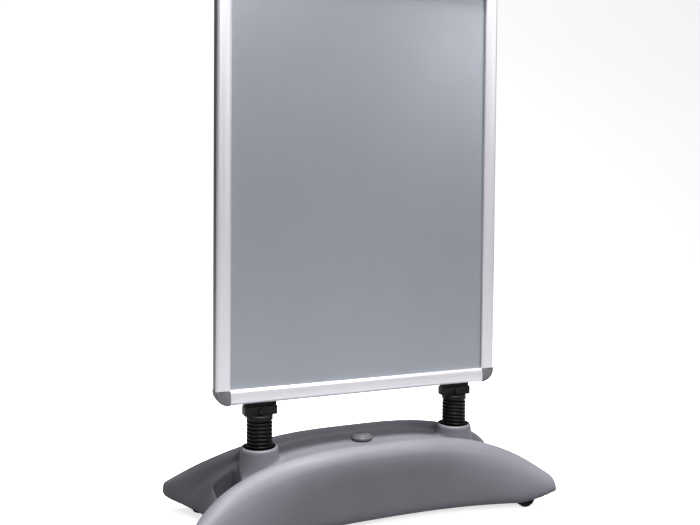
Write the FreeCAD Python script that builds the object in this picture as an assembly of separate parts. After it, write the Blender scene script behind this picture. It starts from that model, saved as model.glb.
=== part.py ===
import FreeCAD, Part
import math
import os

from FreeCAD import Matrix, Vector

# A double-sided A1 snap-frame pavement sign: an aluminium poster frame that sways on two
# coil springs above a hollow, water-filled plastic base with transport wheels.
# Millimetres. +X runs along the sign, +Y to the back, +Z up. The origin is on the ground,
# below the middle of the base.

# ---- clearances ----
seat_gap = 0.3          # between pieces of different bodies
fit_gap = 0.25          # between a piece and the pocket it plugs into
running_gap = 0.05      # radial, between a shaft and its hole

# ---- base tank ----
body_length = 780.0
crest_height = 160.0    # top of the two lobes at mid length
nose_height = 67.0      # top of the lobes at the ends
crest_power = 3.0       # how late the crest line falls to the noses
floor_clearance = 13.0  # ground to the underside
nose_underside = 33.0   # ground to the underside at the noses
nose_rise_length = 85.0
nose_rise_power = 1.3
waist_half_depth = 100.0
nose_half_depth = 168.0
outer_power = 2.45      # how late the lobes swing outwards
valley_half_width = 55.0
nose_inner_half = 114.0
inner_power = 5.0
valley_drop = 13.0      # lobe crest down to the valley floor, at mid length
valley_end_drop = 40.0  # how much deeper the valley would get by the noses
nose_reach = 72.0       # the noses, past the end walls of the valley
web_shoulder = 34.0     # how far the end walls' rounding reaches in
web_power = 2.2         # how square the end walls' curve is in plan
nose_round = 85.0       # length over which the noses round off
nose_taper = 0.5        # how much narrower the blunt tips are
tank_wall = 4.0

# ---- spring sockets moulded in the tank ----
spring_spacing = 448.0
boss_rise = 0.0         # socket rims above the crest of the lobes
boss_depth = 56.0
boss_rim = 4.5          # thickness of the rim round the socket
boss_flare = 14.5       # how far the foot of the boss spreads
boss_flare_height = 66.0

# ---- hand-hold ----
grip_length = 42.0
grip_half_width = 46.0
grip_end_wall = 9.0
grip_depth = 40.0

# ---- filler ----
neck_outer_radius = 15.5
neck_bore_radius = 12.0
neck_height = 6.0       # above the valley floor
neck_flange = 1.5       # thickness of the flange that rests on the valley floor
neck_flange_reach = 0.8  # narrow, so that the cap's skirt passes outside it
thread_room = 2.6       # radial, taken by the coarse thread between cap and neck
cap_wall = 3.9
cap_step = 4.0          # how much narrower the top of the cap is
cap_height = 11.0
seal_thickness = 1.6

# ---- wheels and feet ----
wheel_radius = 23.0
wheel_width = 22.0
wheel_inset = 59.0      # from the end of the base
wheel_y = 116.0
axle_radius = 4.0
axle_overhang = 8.0
well_end_gap = 4.0
well_side_gap = 1.5
well_cheek = 10.0
foot_inset = 76.0       # from the end of the base
foot_radius = 19.0
foot_stem_radius = 6.0
foot_stem_length = 16.0

# ---- springs and their fittings ----
wire_diameter = 7.4
coil_gap = 0.3          # between turns
coil_outer_radius = 26.2
spring_length = 104.0
spring_clearance = 2.55     # radial, between a spring and its cup
cup_wall = 4.0
cup_floor = 6.0
cup_rim_drop = 3.5
collar_lip = 0.3        # how far the collar stands out past the coils
collar_height = 10.0
spigot_reach = 34.0
bracket_width = 66.0
bracket_depth = 26.0
bracket_height = 25.0
bracket_wall = 3.0
bracket_rib_height = 7.5    # narrow top, so that the bottom lids swing past it
bolt_drop = 17.0            # cross bolt below the frame
tang_width = 34.0
bolt_radius = 4.0
bolt_head_radius = 6.5
bolt_head_height = 3.6
screw_radius = 2.5
screw_head_radius = 4.6
screw_head_height = 2.6
screw_spacing = 50.0
screw_grip = 12.0

# ---- poster frame ----
frame_width = 634.0
frame_height = 881.0
frame_depth = 34.0
face_width = 30.0
lid_room = 10.5         # from the rails' faces out to the frame's face
rail_wall = 1.5
rail_setback = 2.0      # rails' inner edge behind the lids' inner edge
pivot_inset = 2.6
pivot_rise = 3.0        # of the hinge beads, above the rails' faces
bead_radius = 1.5
stem_width = 1.2
hook_radius = 2.45
hook_open_from = 60.0
hook_open_to = 218.0
lid_wall = 1.5
lid_end_gap = 0.3
lid_lip_gap = 0.3
corner_radius = 27.0
tongue_length = 26.0
backing_thickness = 0.6
cover_thickness = 0.8
sheet_inset = 8.0
leaf_width = 14.0
leaf_thickness = 0.5
leaf_spacing = 150.0
leaf_clearance = 2.3    # below the lids

half_length = body_length / 2.0
web_length = body_length - 2.0 * nose_reach
wheel_x = half_length - wheel_inset
foot_x = foot_inset - half_length
boss_top = crest_height + boss_rise
boss_floor = boss_top - boss_depth
boss_hole_radius = coil_outer_radius + spring_clearance + cup_wall + fit_gap
boss_rim_radius = boss_hole_radius + boss_rim
boss_flare_radius = boss_rim_radius + boss_flare
cap_radius = neck_outer_radius + thread_room + cap_wall
cap_top_radius = cap_radius - cap_step
coil_pitch = wire_diameter + coil_gap
collar_radius = coil_outer_radius + collar_lip
spring_foot = boss_floor + cup_floor
spring_head = spring_foot + spring_length
frame_bottom = spring_head + collar_height + bracket_height
rail_half_depth = frame_depth / 2.0 - lid_room
rail_reach = face_width - rail_setback
pivot_height = rail_half_depth + pivot_rise
frame_top = frame_bottom + frame_height
frame_middle = (frame_bottom + frame_top) / 2.0
frame_half_width = frame_width / 2.0
frame_half_height = frame_height / 2.0
spring_sides = {"left": -spring_spacing / 2.0, "right": spring_spacing / 2.0}
row_sides = {"front": -1.0, "rear": 1.0}
side_angles = {"left": 0.0, "bottom": -90.0, "right": 180.0, "top": 90.0}


# ---- small helpers ----
def box(x0, x1, y0, y1, z0, z1):
    return Part.makeBox(x1 - x0, y1 - y0, z1 - z0, Vector(x0, y0, z0))


def rod(radius, x, y, z0, z1):
    return Part.makeCylinder(radius, z1 - z0, Vector(x, y, z0))


def rod_along_y(radius, x, z, y0, y1):
    return Part.makeCylinder(radius, y1 - y0, Vector(x, y0, z), Vector(0, 1, 0))


def turned(points, x, y):
    """Solid of revolution about the upright line at x, y; points are (radius, height)."""
    outline = [Vector(r, 0, z) for r, z in points]
    face = Part.Face(Part.makePolygon(outline + [outline[0]]))
    solid = face.revolve(Vector(0, 0, 0), Vector(0, 0, 1), 360)
    solid.translate(Vector(x, y, 0))
    return solid


def bar(outline, length):
    """Straight bar centred on z = 0 from a closed outline of (x, y) points."""
    points = [Vector(x, y, -length / 2.0) for x, y in outline]
    face = Part.Face(Part.makePolygon(points + [points[0]]))
    return face.extrude(Vector(0, 0, length))


def save(shape, name):
    shape.exportStep(os.path.join("parts", name + ".step"))
    solids = shape.Solids
    print(name, len(solids), "solids", round(sum(s.Volume for s in solids)), shape.isValid())


# ---- the base tank ----
def share(x):
    return min(1.0, abs(x) / half_length)


def crest_at(x):
    return crest_height - (crest_height - nose_height) * share(x) ** crest_power


def valley_at(x):
    return crest_at(x) - valley_drop - valley_end_drop * share(x) ** crest_power


def outer_at(x):
    return waist_half_depth + (nose_half_depth - waist_half_depth) * share(x) ** outer_power


def inner_at(x):
    return valley_half_width + (nose_inner_half - valley_half_width) * share(x) ** inner_power


def underside_at(x):
    rise = max(0.0, abs(x) - half_length + nose_rise_length) / nose_rise_length
    return floor_clearance + (nose_underside - floor_clearance) * rise ** nose_rise_power


# Section of a lobe: shares of its width from the inner edge, and of its height.
lobe_outline = [
    (0.90, 0.00),
    (0.985, 0.055),
    (1.00, 0.16),
    (1.00, 0.42),
    (0.975, 0.66),
    (0.86, 0.86),
    (0.62, 0.975),
    (0.36, 1.00),
    (0.14, 0.965),
    (0.03, 0.88),
    (0.00, 0.72),
    (0.00, 0.30),
]


def lobe_section(x, side, inset):
    """Closed wire of one lobe's section; inset makes the tank's inner surface."""
    inner = inner_at(x)
    outer = outer_at(x)
    low = underside_at(x)
    high = crest_at(x)
    near_tip = max(0.0, abs(x) - half_length + nose_round) / nose_round
    shrink = nose_taper * near_tip ** 2.8
    middle = (inner + outer) / 2.0
    half = (outer - inner) / 2.0 * (1.0 - shrink) - inset
    top = high - inset - (high - low) * shrink * 0.25
    foot = low + inset + (high - low) * shrink * 0.15
    points = []
    for across, up in lobe_outline:
        y = middle - half + 2.0 * half * across
        points.append(Vector(x, side * y, foot + (top - foot) * up))
    curve = Part.BSplineCurve()
    curve.interpolate(points)
    floor_edge = Part.LineSegment(points[-1], Vector(x, points[-1].y, foot)).toShape()
    base_edge = Part.LineSegment(Vector(x, points[-1].y, foot), points[0]).toShape()
    return Part.Wire([curve.toShape(), floor_edge, base_edge])


def lobe(side, inset):
    reach = half_length - inset
    shares = [0.0, 0.25, 0.45, 0.60, 0.72, 0.81, 0.88, 0.93, 0.965, 0.987, 1.0]
    stations = [-s * reach for s in reversed(shares[1:])] + [s * reach for s in shares]
    return Part.makeLoft([lobe_section(x, side, inset) for x in stations], True, False)


def web_end(y):
    """Distance from the middle to the end wall: a concave curve from nose to nose."""
    nose_middle = (nose_inner_half + nose_half_depth) / 2.0
    reach = half_length - web_length / 2.0
    return web_length / 2.0 + reach * (abs(y) / nose_middle) ** web_power


def web_section(y, inset):
    """Closed wire of the valley's section at y, with its ends rounded down."""
    end = web_end(y) - inset
    start = end - web_shoulder
    steps = 12
    top = []
    bottom = []
    for i in range(steps + 1):
        x = -start + 2.0 * start * i / steps
        top.append(Vector(x, y, valley_at(x) - inset))
    for i in range(steps + 1):
        x = end - 2.0 * end * i / steps
        bottom.append(Vector(x, y, underside_at(x) + inset))
    low = bottom[0].z
    high = top[0].z
    shoulder = [(0.40, 0.95), (0.76, 0.78), (0.95, 0.52), (1.0, 0.26)]
    right = [Vector(start + web_shoulder * a, y, low + (high - low) * b) for a, b in shoulder]
    left = [Vector(-p.x, y, p.z) for p in reversed(right)]
    upper = Part.BSplineCurve()
    upper.interpolate(left + top + right)
    lower = Part.BSplineCurve()
    lower.interpolate(bottom)
    right_wall = Part.LineSegment(right[-1], bottom[0]).toShape()
    left_wall = Part.LineSegment(bottom[-1], left[0]).toShape()
    return Part.Wire([upper.toShape(), right_wall, lower.toShape(), left_wall])


def lobe_middle_at(x):
    return (inner_at(x) + outer_at(x)) / 2.0


def web(inset):
    """The valley between the lobes, out to the middle line of each lobe."""
    reach = (nose_inner_half + nose_half_depth) / 2.0
    stations = [reach * i / 4.0 for i in range(-4, 5)]
    whole = Part.makeLoft([web_section(y, inset) for y in stations], True, False)
    steps = 16
    edge = []
    for i in range(steps + 1):
        x = -half_length + 2.0 * half_length * i / steps
        edge.append(Vector(x, lobe_middle_at(x), 0))
    back = Part.BSplineCurve()
    back.interpolate(edge)
    front = Part.BSplineCurve()
    front.interpolate([Vector(p.x, -p.y, 0) for p in reversed(edge)])
    right = Part.LineSegment(edge[-1], Vector(edge[-1].x, -edge[-1].y, 0)).toShape()
    left = Part.LineSegment(Vector(edge[0].x, -edge[0].y, 0), edge[0]).toShape()
    plan = Part.Face(Part.Wire([back.toShape(), right, front.toShape(), left]))
    return whole.common(plan.extrude(Vector(0, 0, 2.0 * crest_height)))


def body(inset):
    whole = web(inset)
    for side in row_sides.values():
        whole = whole.fuse(lobe(side, inset))
    return whole


def boss(x):
    """Flared collar round a spring socket, with the socket's wall inside the tank."""
    base = boss_top - boss_flare_height
    spread = boss_flare_radius - boss_rim_radius
    points = [
        (0.0, boss_floor - tank_wall),
        (boss_hole_radius + tank_wall, boss_floor - tank_wall),
        (boss_hole_radius + tank_wall, base - 2.0),
        (boss_flare_radius, base),
        (boss_rim_radius + spread * 0.62, base + boss_flare_height * 0.18),
        (boss_rim_radius + spread * 0.32, base + boss_flare_height * 0.46),
        (boss_rim_radius + spread * 0.12, base + boss_flare_height * 0.74),
        (boss_rim_radius, boss_top - 3.0),
        (boss_rim_radius - 0.9, boss_top - 0.9),
        (boss_rim_radius - 2.2, boss_top),
        (0.0, boss_top),
    ]
    return turned(points, x, 0.0)


def grip_box(grow):
    end = -web_length / 2.0 + grip_end_wall
    top = crest_height
    low = valley_at(end) - grip_depth
    half = grip_half_width + grow
    return box(end - grow, end + grip_length + grow, -half, half, low - grow, top)


def well_box(side, grow, cheek):
    half_width = wheel_width / 2.0 + well_side_gap + cheek
    reach = wheel_radius + well_end_gap + grow
    y = side * wheel_y
    return box(wheel_x - reach, wheel_x + reach, y - half_width, y + half_width, 0.0,
               2.0 * wheel_radius + well_end_gap + grow)


def base_tank():
    outer = body(0.0)
    for x in spring_sides.values():
        outer = outer.fuse(boss(x))
    pad_low = valley_at(0.0) - 2.0 * tank_wall
    outer = outer.fuse(rod(neck_outer_radius + tank_wall, 0, 0, pad_low, valley_at(0.0) - 1.0))
    cavity = body(tank_wall)
    for x in spring_sides.values():
        cavity = cavity.cut(rod(boss_hole_radius + tank_wall, x, 0, boss_floor - tank_wall,
                                boss_top))
    cavity = cavity.cut(grip_box(tank_wall))
    for side in row_sides.values():
        cavity = cavity.cut(well_box(side, tank_wall, well_cheek))
        cavity = cavity.cut(rod(foot_stem_radius + tank_wall, foot_x, side * wheel_y, 0,
                                floor_clearance + foot_stem_length + tank_wall))
    tank = outer.cut(cavity)
    for x in spring_sides.values():
        tank = tank.cut(rod(boss_hole_radius, x, 0, boss_floor, boss_top + 1.0))
    tank = tank.cut(rod(neck_outer_radius + running_gap, 0, 0, pad_low - 1.0, crest_height))
    tank = tank.cut(grip_box(0.0))
    for side in row_sides.values():
        y = side * wheel_y
        pin_half = wheel_width / 2.0 + axle_overhang
        tank = tank.cut(well_box(side, 0.0, 0.0))
        tank = tank.cut(rod_along_y(axle_radius + fit_gap, wheel_x, wheel_radius,
                                    y - pin_half - fit_gap, y + pin_half + fit_gap))
        tank = tank.cut(rod(foot_stem_radius + fit_gap, foot_x, y, 0,
                            floor_clearance + foot_stem_length + fit_gap))
    return tank


def filler_neck():
    """Moulded-in sleeve that the cap screws on to, with a flange on the valley floor."""
    floor = valley_at(0.0)
    reach = neck_outer_radius + neck_flange_reach
    points = [
        (neck_bore_radius, floor - 2.0 * tank_wall),
        (neck_outer_radius, floor - 2.0 * tank_wall),
        (neck_outer_radius, floor),
        (reach, floor),
        (reach, floor + neck_flange),
        (neck_outer_radius, floor + neck_flange),
        (neck_outer_radius, floor + neck_height),
        (neck_bore_radius, floor + neck_height),
    ]
    return turned(points, 0.0, 0.0)


def fill_cap():
    rim = valley_at(0.0) + neck_flange + seat_gap
    top = valley_at(0.0) + seat_gap + cap_height
    seal_top = valley_at(0.0) + neck_height + seal_thickness + 2.0 * seat_gap
    inside = neck_outer_radius + thread_room
    points = [
        (inside, rim),
        (inside, seal_top + seat_gap),
        (0.0, seal_top + seat_gap),
        (0.0, top),
        (cap_top_radius - 1.0, top),
        (cap_top_radius, top - 1.0),
        (cap_top_radius + 0.6, top - 3.0),
        (cap_radius - 1.0, top - 3.4),
        (cap_radius, top - 4.4),
        (cap_radius, rim),
    ]
    return turned(points, 0.0, 0.0)


def cap_seal():
    low = valley_at(0.0) + neck_height + seat_gap
    ring = rod(neck_outer_radius - 0.5, 0, 0, low, low + seal_thickness)
    return ring.cut(rod(neck_bore_radius, 0, 0, low - 1.0, low + seal_thickness + 1.0))


# ---- wheels, axle pins and feet ----
def wheel(side):
    y = side * wheel_y
    half = wheel_width / 2.0
    solid = rod_along_y(wheel_radius, wheel_x, wheel_radius, y - half, y + half)
    solid = solid.makeFillet(2.0, [e for e in solid.Edges if e.Curve.TypeId == "Part::GeomCircle"])
    dish = rod_along_y(wheel_radius * 0.72, wheel_x, wheel_radius, y - half, y - half + 4.0)
    dish = dish.cut(rod_along_y(wheel_radius * 0.36, wheel_x, wheel_radius, y - half, y - half + 4.0))
    solid = solid.cut(dish)
    solid = solid.cut(dish.translated(Vector(0, wheel_width - 4.0, 0)))
    bore = rod_along_y(axle_radius + running_gap, wheel_x, wheel_radius, y - half - 1.0, y + half + 1.0)
    return solid.cut(bore)


def axle_pin(side):
    y = side * wheel_y
    half = wheel_width / 2.0 + axle_overhang
    return rod_along_y(axle_radius, wheel_x, wheel_radius, y - half, y + half)


def rubber_feet():
    feet = []
    for side in row_sides.values():
        y = side * wheel_y
        pad_top = floor_clearance - fit_gap
        points = [
            (0.0, 0.0),
            (foot_radius - 2.0, 0.0),
            (foot_radius, 2.0),
            (foot_radius - 1.0, pad_top),
            (foot_stem_radius, pad_top),
            (foot_stem_radius, floor_clearance + foot_stem_length - 2.0),
            (foot_stem_radius - 2.0, floor_clearance + foot_stem_length),
            (0.0, floor_clearance + foot_stem_length),
        ]
        feet.append(turned(points, foot_x, y))
    return Part.Compound(feet)


# ---- springs and their end fittings ----
def spring_cup(x):
    """Black cup in the tank's socket, with the spigot that centres the spring's foot."""
    outside = boss_hole_radius - fit_gap
    top = boss_top - cup_rim_drop
    floor = boss_floor + fit_gap
    seat = spring_foot - fit_gap
    inside = outside - cup_wall
    spigot = coil_outer_radius - wire_diameter - 0.5
    points = [
        (0.0, floor),
        (outside, floor),
        (outside, top - 1.0),
        (outside - 1.0, top),
        (inside, top),
        (inside, seat),
        (spigot, seat),
        (spigot, seat + spigot_reach - 3.0),
        (spigot - 3.0, seat + spigot_reach),
        (0.0, seat + spigot_reach),
    ]
    return turned(points, x, 0.0)


def coil_spring(x):
    """Close-wound coil, with the wire swept along one helix."""
    mean = coil_outer_radius - wire_diameter / 2.0
    radius = wire_diameter / 2.0
    height = spring_head - spring_foot - wire_diameter
    helix = Part.makeHelix(coil_pitch, height, mean)
    profile = Part.Wire([Part.makeCircle(radius, Vector(mean, 0, 0), Vector(0, 1, 0))])
    solid = Part.Wire(helix.Edges).makePipeShell([profile], True, True)
    solid.translate(Vector(x, 0, spring_foot + radius))
    return solid


def spring_head_plug(x):
    """Collar on the spring's top, with a spigot below and a tang in the bracket above."""
    low = spring_head + fit_gap
    high = frame_bottom - bracket_height
    spigot = coil_outer_radius - wire_diameter - 0.5
    bottom = low - spigot_reach * 0.7
    points = [
        (0.0, bottom),
        (spigot - 3.0, bottom),
        (spigot, bottom + 3.0),
        (spigot, low),
        (collar_radius, low),
        (collar_radius, high - 1.0),
        (collar_radius - 1.0, high),
        (0.0, high),
    ]
    plug = turned(points, x, 0.0)
    half_y = bracket_depth / 2.0 - bracket_wall - fit_gap
    tang_top = frame_bottom - bracket_rib_height - bracket_wall - 0.5
    plug = plug.fuse(box(x - tang_width / 2.0, x + tang_width / 2.0, -half_y, half_y,
                         high - 1.0, tang_top))
    bolt_z = frame_bottom - bolt_drop
    return plug.cut(rod_along_y(bolt_radius + fit_gap, x, bolt_z, -half_y - 1.0, half_y + 1.0))


def bracket(x):
    """Folded steel channel, open downwards, with a solid rib up to the bottom rail."""
    half_x = bracket_width / 2.0
    half_y = bracket_depth / 2.0
    low = frame_bottom - bracket_height
    high = frame_bottom - bracket_rib_height
    rib = box(x - half_x, x + half_x, -rail_half_depth, rail_half_depth, high - 1.0, frame_bottom)
    solid = box(x - half_x, x + half_x, -half_y, half_y, low + fit_gap, high).fuse(rib)
    solid = solid.cut(box(x - half_x + bracket_wall, x + half_x - bracket_wall,
                          -half_y + bracket_wall, half_y - bracket_wall,
                          low - 1.0, high - bracket_wall))
    bolt_z = frame_bottom - bolt_drop
    solid = solid.cut(rod_along_y(bolt_radius + fit_gap, x, bolt_z, -half_y - 1.0, half_y + 1.0))
    for side in (-1.0, 1.0):
        at = x + side * screw_spacing / 2.0
        solid = solid.cut(rod(screw_radius + fit_gap, at, 0, low, frame_bottom + 1.0))
    return solid.removeSplitter()


def hexagon(radius, x, z, y0, y1):
    corners = []
    for i in range(7):
        a = math.radians(60.0 * i + 30.0)
        corners.append(Vector(x + radius * math.cos(a), y0, z + radius * math.sin(a)))
    return Part.Face(Part.makePolygon(corners)).extrude(Vector(0, y1 - y0, 0))


def bracket_bolts():
    bolts = []
    z = frame_bottom - bolt_drop
    half_y = bracket_depth / 2.0
    for x in spring_sides.values():
        front = -half_y - bolt_head_height
        shank = rod_along_y(bolt_radius, x, z, front, half_y + bolt_head_height + 2.0)
        head = hexagon(bolt_head_radius, x, z, front, -half_y)
        bolts.append(head.fuse(shank))
    return Part.Compound(bolts)


def bracket_nuts():
    nuts = []
    z = frame_bottom - bolt_drop
    half_y = bracket_depth / 2.0
    for x in spring_sides.values():
        nut = hexagon(bolt_head_radius, x, z, half_y, half_y + bolt_head_height + 1.4)
        nuts.append(nut.cut(rod_along_y(bolt_radius + running_gap, x, z, half_y - 1.0, half_y + 9.0)))
    return Part.Compound(nuts)


def rail_screw_positions():
    places = []
    for x in spring_sides.values():
        for side in (-1.0, 1.0):
            places.append(x + side * screw_spacing / 2.0)
    return places


def rail_screws():
    screws = []
    seat = frame_bottom - bracket_rib_height - bracket_wall
    for x in rail_screw_positions():
        head = rod(screw_head_radius, x, 0, seat - screw_head_height, seat)
        screws.append(head.fuse(rod(screw_radius, x, 0, seat, frame_bottom + screw_grip)))
    return Part.Compound(screws)


# ---- poster frame profiles, as (inward from the outer edge, depth) outlines ----
def arc_points(cx, cy, radius, from_angle, to_angle, steps):
    points = []
    for i in range(steps + 1):
        a = math.radians(from_angle + (to_angle - from_angle) * i / steps)
        points.append((cx + radius * math.cos(a), cy + radius * math.sin(a)))
    return points


def on_side(shape, side, half):
    """Moves a bar built along z, with its outer edge at x = 0, to one side of the frame."""
    shape.translate(Vector(-half, 0, 0))
    shape.rotate(Vector(0, 0, 0), Vector(0, 1, 0), side_angles[side])
    shape.translate(Vector(0, 0, frame_middle))
    return shape


def half_across(side):
    return frame_half_width if side in ("left", "right") else frame_half_height


def rail_length(side):
    along = frame_height if side in ("left", "right") else frame_width
    return along - 2.0 * face_width


def rail(side):
    """Box profile with a bead on a stem at each outer corner, which the lids turn on."""
    length = rail_length(side)
    h = rail_half_depth
    w = rail_wall
    outer = bar([(0, -h), (rail_reach, -h), (rail_reach, h), (0, h)], length)
    hollow = bar([(w, -h + w), (rail_reach - w, -h + w), (rail_reach - w, h - w), (w, h - w)], length)
    solid = outer.cut(hollow)
    for depth in row_sides.values():
        x0 = pivot_inset - stem_width / 2.0
        x1 = pivot_inset + stem_width / 2.0
        stem = bar([(x0, depth * (h - 0.5)), (x1, depth * (h - 0.5)),
                    (x1, depth * pivot_height), (x0, depth * pivot_height)], length)
        bead = Part.makeCylinder(bead_radius, length, Vector(pivot_inset, depth * pivot_height,
                                                             -length / 2.0))
        solid = solid.fuse(stem).fuse(bead)
    solid = on_side(solid.removeSplitter(), side, half_across(side))
    if side == "bottom":
        for x in rail_screw_positions():
            solid = solid.cut(rod(screw_radius + running_gap, x, 0, frame_bottom - 1.0,
                                  frame_bottom + w + 1.0))
    return solid


def lid_outline():
    """Snap-open cover profile: a hook round the bead, a bulged face and an inner lip."""
    t = lid_wall
    face = -frame_depth / 2.0
    lip = -(rail_half_depth + backing_thickness + cover_thickness + lid_lip_gap)
    px = pivot_inset
    py = -pivot_height
    inner = bead_radius + running_gap
    hook_in = arc_points(px, py, inner, hook_open_to, hook_open_from + 360.0, 20)
    hook_out = arc_points(px, py, hook_radius, hook_open_from + 360.0, 340.0, 8)
    start = hook_out[-1]
    under = [
        (start[0] + 0.6, py - 3.0),
        (start[0] + 2.2, face + t + 0.9),
        (start[0] + 6.0, face + t),
        (face_width - 12.0, face + t + 0.25),
        (face_width - 5.0, face + t + 1.7),
        (face_width - t - 0.6, face + t + 4.2),
        (face_width - t - 0.2, lip),
    ]
    over = [
        (face_width, lip),
        (face_width, face + 5.0),
        (face_width - 1.0, face + 3.4),
        (face_width - 4.6, face + 1.7),
        (face_width - 12.0, face + 0.25),
        (10.0, face),
        (5.5, face + 0.35),
        (2.6, face + 1.7),
        (1.0, face + 3.9),
        (0.45, -pivot_height - 1.9),
    ]
    return hook_in + hook_out + under + over


def snap_lid(side, row):
    depth = row_sides[row]
    outline = [(x, -depth * y) for x, y in lid_outline()]
    solid = bar(outline, rail_length(side) - 2.0 * lid_end_gap)
    return on_side(solid, side, half_across(side))


def corner_cap(horizontal, vertical):
    """Rounded plastic corner with a tongue in the end of each of its two rails."""
    sx = -1.0 if horizontal == "left" else 1.0
    sz = -1.0 if vertical == "bottom" else 1.0
    half_depth = frame_depth / 2.0 - 0.6
    f = face_width
    r = corner_radius
    arc = Part.Arc(Vector(0, 0, r), Vector(r - r * math.sqrt(0.5), 0, r - r * math.sqrt(0.5)),
                   Vector(r, 0, 0)).toShape()
    corners = [Vector(r, 0, 0), Vector(f, 0, 0), Vector(f, 0, f), Vector(0, 0, f), Vector(0, 0, r)]
    edges = [arc]
    for a, b in zip(corners, corners[1:]):
        edges.append(Part.LineSegment(a, b).toShape())
    block = Part.Face(Part.Wire(edges)).extrude(Vector(0, 2.0 * half_depth, 0))
    block.translate(Vector(0, -half_depth, 0))
    rim = [e for e in block.Edges if isinstance(e.Curve, Part.Circle)]
    block = block.makeFillet(3.0, rim)
    x0 = rail_wall + fit_gap
    x1 = rail_reach - rail_wall - fit_gap
    y1 = rail_half_depth - rail_wall - fit_gap
    block = block.fuse(box(x0, x1, -y1, y1, f - 1.0, f + tongue_length))
    block = block.fuse(box(f - 1.0, f + tongue_length, -y1, y1, x0, x1))
    mirror = Matrix()
    mirror.A11 = -sx
    mirror.A33 = -sz
    block = block.transformGeometry(mirror)
    block.translate(Vector(sx * frame_half_width, 0, frame_middle + sz * frame_half_height))
    return block


def sheet(row, start, thickness):
    depth = row_sides[row]
    y0 = min(depth * start, depth * (start + thickness))
    half_x = frame_half_width - sheet_inset
    half_z = frame_half_height - sheet_inset
    plate = box(-half_x, half_x, y0, y0 + thickness, frame_middle - half_z, frame_middle + half_z)
    clear = face_width - sheet_inset + fit_gap
    for sx in (-1.0, 1.0):
        for sz in (-1.0, 1.0):
            x0 = min(sx * half_x, sx * (half_x - clear))
            z0 = min(sz * half_z, sz * (half_z - clear)) + frame_middle
            plate = plate.cut(box(x0, x0 + clear, y0 - 1.0, y0 + thickness + 1.0, z0, z0 + clear))
    return plate


def leaf_springs(row):
    """Arched steel strips on the rails, below the lids, that snap the lids shut."""
    depth = row_sides[row]
    t = leaf_thickness
    foot = rail_half_depth
    bend = sheet_inset - seat_gap
    tip = frame_depth / 2.0 - lid_wall - leaf_clearance
    outline = [
        (bend - 3.4, foot),
        (bend, foot),
        (bend, foot + 2.5),
        (bend - 1.0, tip),
        (bend - 1.0 - t, tip - 0.1),
        (bend - t, foot + 2.4),
        (bend - t, foot + t),
        (bend - 3.4, foot + t),
    ]
    outline = [(x, depth * y) for x, y in outline]
    strips = []
    for side in side_angles:
        span = rail_length(side) - 2.0 * leaf_spacing
        count = max(2, int(round(span / leaf_spacing)) + 1)
        for i in range(count):
            at = -span / 2.0 + span * i / (count - 1)
            strip = bar(outline, leaf_width)
            strip.translate(Vector(0, 0, at))
            strips.append(on_side(strip, side, half_across(side)))
    return Part.Compound(strips)


def build():
    os.makedirs("parts", exist_ok=True)
    save(base_tank(), "base_tank")
    save(filler_neck(), "filler_neck")
    save(fill_cap(), "fill_cap")
    save(cap_seal(), "cap_seal")
    save(rubber_feet(), "rubber_feet")
    for row, side in row_sides.items():
        save(wheel(side), "wheel_" + row)
        save(axle_pin(side), "axle_pin_" + row)
    for name, x in spring_sides.items():
        save(spring_cup(x), "spring_cup_" + name)
        save(coil_spring(x), "coil_spring_" + name)
        save(spring_head_plug(x), "spring_plug_" + name)
        save(bracket(x), "bracket_" + name)
    save(bracket_bolts(), "bracket_bolts")
    save(bracket_nuts(), "bracket_nuts")
    save(rail_screws(), "rail_screws")
    for side in side_angles:
        save(rail(side), "rail_" + side)
        for row in row_sides:
            save(snap_lid(side, row), "snap_lid_" + row + "_" + side)
    for vertical in ("bottom", "top"):
        for horizontal in ("left", "right"):
            save(corner_cap(horizontal, vertical), "corner_" + vertical + "_" + horizontal)
    cover_start = rail_half_depth + backing_thickness
    for row in row_sides:
        save(sheet(row, rail_half_depth, backing_thickness), "backing_sheet_" + row)
        save(sheet(row, cover_start, cover_thickness), "cover_sheet_" + row)
        save(leaf_springs(row), "leaf_springs_" + row)


build()
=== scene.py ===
import math

import bmesh
import bpy
import numpy as np
from mathutils import Matrix, Vector


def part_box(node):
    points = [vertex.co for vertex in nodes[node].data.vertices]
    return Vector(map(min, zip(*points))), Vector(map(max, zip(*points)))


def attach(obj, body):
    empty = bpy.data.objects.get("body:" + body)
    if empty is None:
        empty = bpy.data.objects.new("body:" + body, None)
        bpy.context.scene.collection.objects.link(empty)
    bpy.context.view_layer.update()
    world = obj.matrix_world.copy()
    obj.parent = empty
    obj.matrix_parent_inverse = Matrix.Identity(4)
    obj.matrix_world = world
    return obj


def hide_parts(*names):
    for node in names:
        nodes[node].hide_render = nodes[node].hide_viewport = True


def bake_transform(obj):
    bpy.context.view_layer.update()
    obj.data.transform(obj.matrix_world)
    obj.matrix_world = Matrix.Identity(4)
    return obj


# A double-sided poster sign: a snap-open aluminium frame on two coil springs, above a hollow
# grey plastic base. Metres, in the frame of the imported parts: +X along the sign, +Z up.

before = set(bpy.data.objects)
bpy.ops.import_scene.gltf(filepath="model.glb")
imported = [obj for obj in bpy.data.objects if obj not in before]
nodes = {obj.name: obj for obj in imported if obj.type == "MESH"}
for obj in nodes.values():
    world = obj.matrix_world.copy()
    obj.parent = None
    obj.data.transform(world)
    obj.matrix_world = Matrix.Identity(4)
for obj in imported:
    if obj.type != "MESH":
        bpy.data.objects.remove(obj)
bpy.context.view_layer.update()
rows = {"front": -1.0, "rear": 1.0}


def middleOf(node):
    low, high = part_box(node)
    return (low + high) / 2.0


print("frame loaded")


# ---- mesh helpers ----
def newPiece(name, mesh, material, body=None, stands=()):
    piece = bpy.data.objects.new(name, mesh)
    bpy.context.scene.collection.objects.link(piece)
    mesh.materials.clear()
    mesh.materials.append(material)
    if body:
        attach(piece, body)
    if stands:
        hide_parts(*stands)
    return piece


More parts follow.
